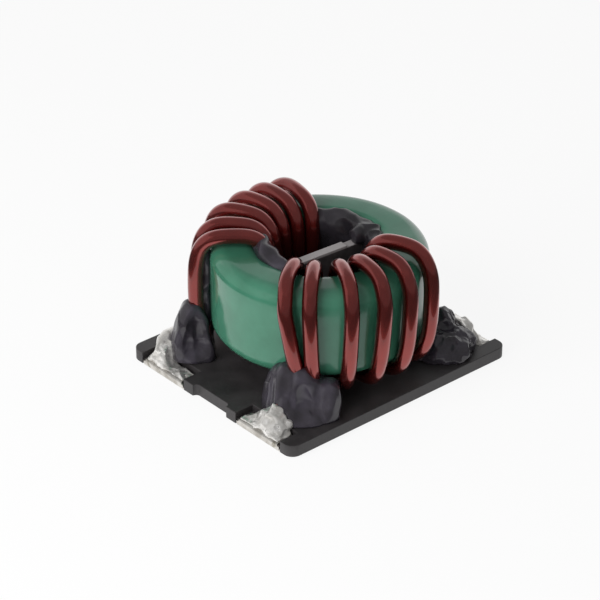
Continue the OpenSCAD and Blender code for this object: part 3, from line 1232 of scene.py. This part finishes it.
@dataclass
class RimGlue:
    """A ragged bead of epoxy on the ring's inner rim, which may climb at its start and stretch down the wall
    as a dark skirt put in as painted shade of the hole's inside.
    """

    end: str
    span: Pair
    thick: Pair
    swell: float
    climb: float
    # Stretch of the lower half down the wall; above 1 it makes a dark skirt put in as painted shade of the
    # hole's inside.
    shade_skirt_stretch: float
    phase: float
    waves: tuple[Pair, ...]
    creases: tuple[Pair, ...]
    blobs: tuple[Four, ...] = ()
    finish: Finish = DrippedEpoxy()
    drop: float = 0.7
    uneven: float = 0.07
    body_turn: float = 900.0
    lobes: int = 3
    lobe_turn: float = 500.0
    sides: int = 36
    steps: int = 90
    voxel: float = 0.08
    rounds: int = 8

    def build(self) -> Object:
        """Sweeps the bead and roughens its skin.

        Returns:
            The bead's piece.
        """
        rings = []
        for i in range(self.steps + 1):
            s = i / self.steps
            body = mix(*self.thick, s) + self.swell * math.sin(math.pi * s)
            body *= 1 + self.uneven * math.cos(math.radians(self.body_turn * s + self.phase))
            turn = math.radians(self.lobe_turn * s + self.phase)
            az = math.radians(mix(*self.span, s))
            ring = []
            for w in np.linspace(0, 2 * math.pi, self.sides, endpoint=False):
                ragged = body * (1 + self.uneven * math.cos(self.lobes * w + turn))
                r = CORE_ID / 2 + ragged * math.cos(w)
                z = CORE_TOP - self.drop + self.climb * (1 - s)
                z += ragged * math.sin(w) * (self.shade_skirt_stretch if w > math.pi else 1)
                ring.append(polar(r, az, z))
            rings.append(np.array(ring))
        shell = sweep(rings)
        for x, y, z, r in self.blobs:
            shell.take(ball(np.array((x, y, z)), r))
        mesh = melted(shell, "glue_" + self.end, self.voxel, self.rounds)
        roughen(mesh, self.waves, self.creases, BASE_TOP)
        return place_piece("epoxy_" + self.end, mesh, "glue_" + self.end)

    def dress(self, glue: Object) -> None:
        """Puts the epoxy's finish on it."""
        self.finish.cover(glue)


class Seen(Enum):
    """Which rays meet a stage piece."""

    ALL = "all"
    REFLECTED = "reflected"


@dataclass
class HoodSheet:
    """One sheet of the dark room: its profile, its span of angles about the camera's side, and its tone."""

    name: str
    profile: list[Pair]
    span: Pair
    tone: float
    widen: float = 0.0


@dataclass
class Studio:
    """Pale floor, soft light and the camera at the photograph's angle."""

    azimuth: float = -40.93
    elevation: float = 30.6
    distance: float = 250.0
    lens: float = 159.7
    sensor: float = 36.0
    clip: float = 0.01
    aim: Triple = (0.0, 0.0, 6.1)
    slide_right: float = -1.834
    slide_up: float = 0.164
    floor_size: float = 4000.0
    floor_tone: str = "#f4f4f4"
    floor_white: float = 0.88
    dome: float = 0.45
    key_power: float = 0.4
    key_size: float = 160.0
    key_distance: float = 200.0
    key_azimuth: float = -176.0
    key_elevation: float = 28.0
    key_aim: float = 8.0
    hood_gap: Pair = (27.0, 31.0)
    hood_wide_from: float = -25.0
    hood_wide_over: float = 15.0
    hood_radius: float = 150.0
    hood_low: float = 0.3
    hood_half: float = 125.0
    hood_left: float = -50.0
    hood_steps: int = 40
    hood_wall: tuple[float, ...] = (0, 7, 14, 21, 28, 35, 42)
    hood_band: tuple[float, ...] = (28, 35, 42)
    hood_roof: tuple[float, ...] = (42, 52, 62, 72, 82, 89)
    hood_tones: tuple[float, ...] = (0.1, 0.55, 0.24, 0.62, 0.3)

    def axes(self) -> tuple[np.ndarray, np.ndarray, np.ndarray]:
        """Finds how the camera is turned.

        Returns:
            Its right, up and backward directions.
        """
        a, e = math.radians(self.azimuth), math.radians(self.elevation)
        back = np.array((math.sin(a) * math.cos(e), -math.cos(a) * math.cos(e), math.sin(e)))
        right = np.array((math.cos(a), math.sin(a), 0.0))
        return right, np.cross(back, right), back

    def camera(self) -> None:
        """Stands the camera where the photograph was taken from."""
        right, up, back = self.axes()
        place = np.array(self.aim) + self.slide_right * right + self.slide_up * up + self.distance * back
        lens = bpy.data.cameras.new("camera")
        lens.lens = self.lens
        lens.sensor_width = self.sensor
        lens.clip_start = self.clip
        camera = put("camera", lens)
        camera.location = Vector(place) * MM
        camera.rotation_euler = Vector(-back).to_track_quat("-Z", "Y").to_euler()
        bpy.context.scene.camera = camera

    def sheet(self, name: str, points: list[np.ndarray], faces: list[Face], seen: Seen) -> Object:
        """Sets up a sheet of the stage.

        Args:
            name: Sheet name.
            points: Its points in millimetres.
            faces: Its faces.
            seen: Which rays meet it.

        Returns:
            The sheet.
        """
        obj = put(name, Shell(points, faces).mesh(name, MM))
        if seen is Seen.REFLECTED:
            obj.visible_camera = False
            obj.visible_diffuse = False
            obj.visible_shadow = False
            obj.visible_transmission = False
        return obj

    def by_ray(self, tree: NodeTree, lit: Node, shown: Node) -> NodeSocket:
        """Shows one surface to rays that see it straight or in a mirror, and another to the rest.

        Args:
            tree: Node tree that takes the mix.
            lit: Surface for the rays that light the part.
            shown: Surface for the rays that see the background.

        Returns:
            The mixed surface.
        """
        path = add(tree, "ShaderNodeLightPath").outputs
        sees = path["Is Camera Ray"]
        for kind in ("Is Glossy Ray", "Is Transmission Ray"):
            sees = add(tree, "ShaderNodeMath", {0: sees, 1: path[kind]}, operation="MAXIMUM").outputs[0]
        return add(tree, "ShaderNodeMixShader", {0: sees, 1: lit.outputs[0], 2: shown.outputs[0]}).outputs[0]

    def floor(self) -> None:
        """Lays the pale floor, which keeps the part's shadow."""
        half = self.floor_size / 2
        corners = ((-half, -half), (half, -half), (half, half), (-half, half))
        points = [np.array((x, y, 0.0)) for x, y in corners]
        paper = bpy.data.materials.new("white_paper")
        tree = blank_tree(paper)
        matt = add(tree, "ShaderNodeBsdfDiffuse", {"Color": linear(self.floor_tone)})
        white = add(tree, "ShaderNodeEmission", {"Color": WHITE, "Strength": 1.0})
        pale = {0: self.floor_white, 1: matt.outputs[0], 2: white.outputs[0]}
        shown = add(tree, "ShaderNodeMixShader", pale)
        add(tree, "ShaderNodeOutputMaterial", {"Surface": self.by_ray(tree, matt, shown)})
        self.sheet("stage_floor", points, [(0, 1, 2, 3)], Seen.ALL).data.materials.append(paper)

    def arc(self, elevations: tuple[float, ...]) -> list[Pair]:
        """Gives radius and height of points on the dark room's dome, by their elevations."""
        rays = [(math.cos(math.radians(e)), math.sin(math.radians(e))) for e in elevations]
        return [(self.hood_radius * c, self.hood_low + self.hood_radius * s) for c, s in rays]

    def hood_sheets(self) -> tuple[HoodSheet, ...]:
        """Lists the sheets of the dark room.

        Returns:
            Table, left wall, front wall, band at the back, and ceiling.
        """
        table, left, front, back, high = self.hood_tones
        inner, outer = self.hood_gap
        half = self.hood_half
        wall = self.arc(self.hood_wall)
        top = [(inner, self.hood_low), wall[0]]
        return (
            HoodSheet("stage_hood_table", top, (-half, half), table, outer - inner),
            HoodSheet("stage_hood_left", wall, (-half, self.hood_left), left),
            HoodSheet("stage_hood_front", wall, (self.hood_left, half), front),
            HoodSheet("stage_hood_back", self.arc(self.hood_band), (half, 360 - half), back),
            HoodSheet("stage_hood_high", self.arc(self.hood_roof), (-180.0, 180.0), high),
        )

    def hood(self) -> None:
        """Hangs the dark room, which only reflections show. The table starts farther out on the left."""
        _, _, back = self.axes()
        middle = math.degrees(math.atan2(back[1], back[0]))
        for part in self.hood_sheets():
            points = []
            for angle in np.linspace(*part.span, self.hood_steps + 1):
                a = math.radians(middle + angle)
                wider = part.widen * smooth((self.hood_wide_from - angle) / self.hood_wide_over)
                for k, (r, z) in enumerate(part.profile):
                    out = r if k else r + wider
                    points.append(polar(out, a, z))
            faces = grid(self.hood_steps + 1, len(part.profile))
            cloth = bpy.data.materials.new(part.name)
            tree = blank_tree(cloth)
            glow = add(tree, "ShaderNodeEmission", {"Color": WHITE, "Strength": part.tone})
            add(tree, "ShaderNodeOutputMaterial", {"Surface": glow.outputs[0]})
            self.sheet(part.name, points, faces, Seen.REFLECTED).data.materials.append(cloth)

    def light(self) -> None:
        """Lights the set from a white dome and one large soft box at the front left."""
        world = bpy.data.worlds.new("white_dome")
        bpy.context.scene.world = world
        tree = blank_tree(world)
        lit = add(tree, "ShaderNodeBackground", {"Color": WHITE, "Strength": self.dome})
        shown = add(tree, "ShaderNodeBackground", {"Color": WHITE, "Strength": 1.0})
        add(tree, "ShaderNodeOutputWorld", {"Surface": self.by_ray(tree, lit, shown)})
        lamp = bpy.data.lights.new("soft_box", "AREA")
        lamp.shape = "SQUARE"
        lamp.size = self.key_size * MM
        lamp.energy = self.key_power
        box = put("soft_box", lamp)
        box.visible_glossy = False
        a, e = math.radians(self.key_azimuth), math.radians(self.key_elevation)
        box.location = Vector(polar(math.cos(e), a, math.sin(e))) * self.key_distance * MM
        beam = Vector((0, 0, self.key_aim * MM)) - box.location
        box.rotation_euler = beam.to_track_quat("-Z", "Y").to_euler()

    def build(self) -> None:
        """Sets up the whole stage."""
        self.camera()
        self.floor()
        self.hood()
        self.light()
        bpy.context.scene.view_settings.view_transform = "Standard"


def main() -> None:
    """Builds and dresses every sub-assembly."""
    logging.basicConfig(level=logging.INFO, format="%(message)s")
    Studio().build()
    front_path, rear_path = FRONT.path(), REAR.path()
    parts = [
        Plate(),
        Clips(),
        Ring(),
        FRONT,
        REAR,
        Separator(),
        SolderJoint(
            "front", -1, -1, FRONT.knots[0][0], tongue=2.1, spread=1.9, rise=1.5, phase=20,
            sleeve=front_path[FRONT_TIN], blobs=((-11.35, -8.8, 1.6, 0.5),), over=0.0,
        ),
        SolderJoint(
            "left", -1, 1, REAR.knots[0][0], tongue=1.75, spread=1.1, rise=0.7, phase=130,
            sleeve=rear_path[LEFT_TIN],
        ),
        SolderJoint(
            "right", 1, -1, FRONT.end, tongue=2.6, spread=2.0, rise=0.7, phase=75,
            sleeve=front_path[FAR_TIN],
        ),
        SolderJoint(
            "back", 1, 1, REAR.end, tongue=2.6, spread=1.2, rise=0.7, phase=200,
            sleeve=rear_path[FAR_TIN],
        ),
        GlueMound(
            "front",
            (
                Mound((-8, -7.7), (2.6, 2.6), (-8.5, -7.2, 5.8), 1.5, 40),
                Mound((-9.7, -6.6), (1.9, 2.1), (-9.3, -6.2, 5.9), 1.7, 90),
                Mound((-9.6, -5.6), (1.9, 2), (-9.3, -5.3, 5.4), 1.5, 90),
                Mound((-7.7, -9.3), (1.6, 1.6), (-6.9, -8.9, 4.5), 2.6, 10),
                Mound((-8.8, -8), (2.6, 2.6), (-8.5, -7.7, 3.4), 2.2, 70),
                Mound((-10.6, -7.2), (1.3, 1.4), (-10.4, -7.2, 3.7), 1.8, 30),
            ),
            creases=((2.4, 0.12),),
            dents=((-9.4, -9.2, 3.1, 2.1, 0.75),),
        ),
        GlueMound(
            "left",
            (
                Mound(
                    (-10, 6.8), (2, 2.3), (-9.9, 6.9, 6.8), 1.7, 150,
                    ridges=((-172, -150, 0.12, 18), (-80, -100, 0.1, 18)),
                    dells=((-165, -88, -146, -104, 0.16),),
                ),
                Mound((-9.8, 8.4), (1.5, 1.6), (-9.7, 8, 3.9), 1.8, 60),
                # A thin column up the gap between the first rear leg and the ring: partly glue that climbs
                # there, partly a dark fill put in as painted shade of the gap.
                Mound((-8.2, 7.1), (0.8, 0.8), (-8.05, 6.95, 11.7), 4, 60),
            ),
            dents=((-10.3, 5.3, 3.6, 2.1, 0.5),),
        ),
        GlueMound(
            "right",
            (
                Mound((8.3, -7.8), (3.3, 3.2), (8.6, -8.1, 3.5), 2, 250),
                Mound((9.2, -7.2), (1.9, 1.8), (9.35, -7.1, 5), 1.4, 0),
            ),
            waves=((1.4, 0.16),),
            creases=((1.3, 0.2), (0.6, 0.05)),
        ),
        GlueMound("back", (Mound((8.8, 7.4), (3.3, 3), (9, 6.9, 5), 1.9, 250),)),
        RimGlue(
            "near", (147, 205), thick=(0.8, 0.55), swell=0.25, climb=1, shade_skirt_stretch=1, phase=30,
            waves=((2.0, 0.08),), creases=((2.4, 0.06),),
        ),
        # The far bead runs far down the hole's wall in blacker epoxy, as painted shade of the hole's inside.
        RimGlue(
            "far", (-42, 57), thick=(0.5, 1), swell=0.25, climb=0, shade_skirt_stretch=6, phase=100,
            waves=((1.4, 0.16),), creases=((1.6, 0.14),),
            blobs=((4.5, -0.5, 11.9, 0.95), (4.9, -1.5, 12.0, 0.6), (5.3, -2.1, 12.3, 0.35)),
            finish=EpoxyInPaintedShade(),
        ),
    ]
    for part in parts:
        part.dress(part.build())


if __name__ == "__main__":
    main()
